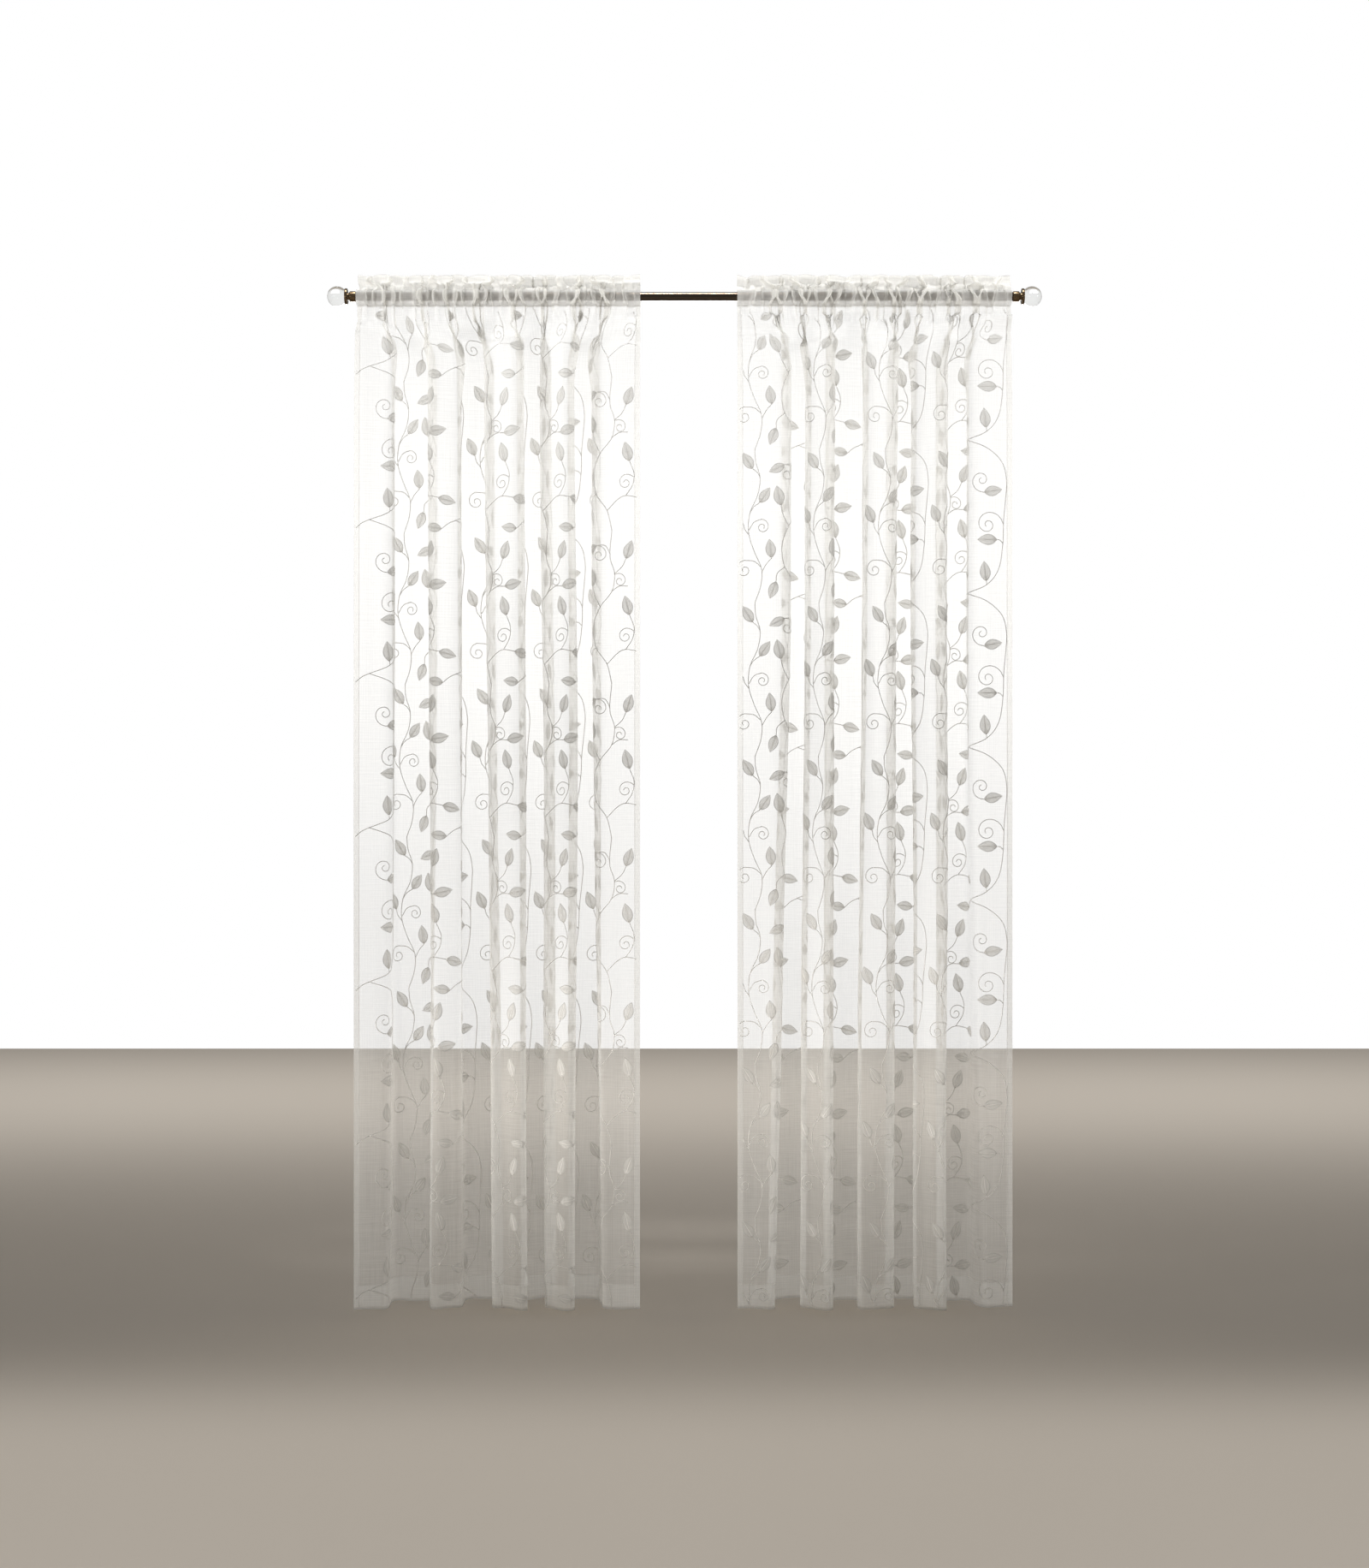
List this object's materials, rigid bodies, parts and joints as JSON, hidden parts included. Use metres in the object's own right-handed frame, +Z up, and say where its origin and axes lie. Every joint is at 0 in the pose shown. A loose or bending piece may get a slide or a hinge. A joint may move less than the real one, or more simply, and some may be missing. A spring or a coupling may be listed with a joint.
{
  "type": "sheer voile curtain pair on a curtain rod",
  "caption": "Pair of sheer rod-pocket voile curtains gathered on a slim metal rod with clear glass ball finials, hanging in soft full-length folds.",
  "frame": {"origin": "on the rod's axis, halfway between its ends", "axes": "+Z up, +X along the rod to the right as seen from the room, and the room is on the -Y side"},
  "size_m": [1.4798, 0.1119, 2.1341],
  "materials": {
    "voile": "sheer ivory voile with tone-on-tone embroidery",
    "rod_metal": "polished dark bronze plating",
    "collar_metal": "polished antique brass",
    "clear_glass": "clear and polished"
  },
  "bodies": {
    "root": {"curtain_left": "voile", "curtain_right": "voile", "rod": "rod_metal", "collar_left": "collar_metal", "collar_right": "collar_metal", "glass_ball_left": "clear_glass", "glass_ball_right": "clear_glass"}
  },
  "joints": []
}
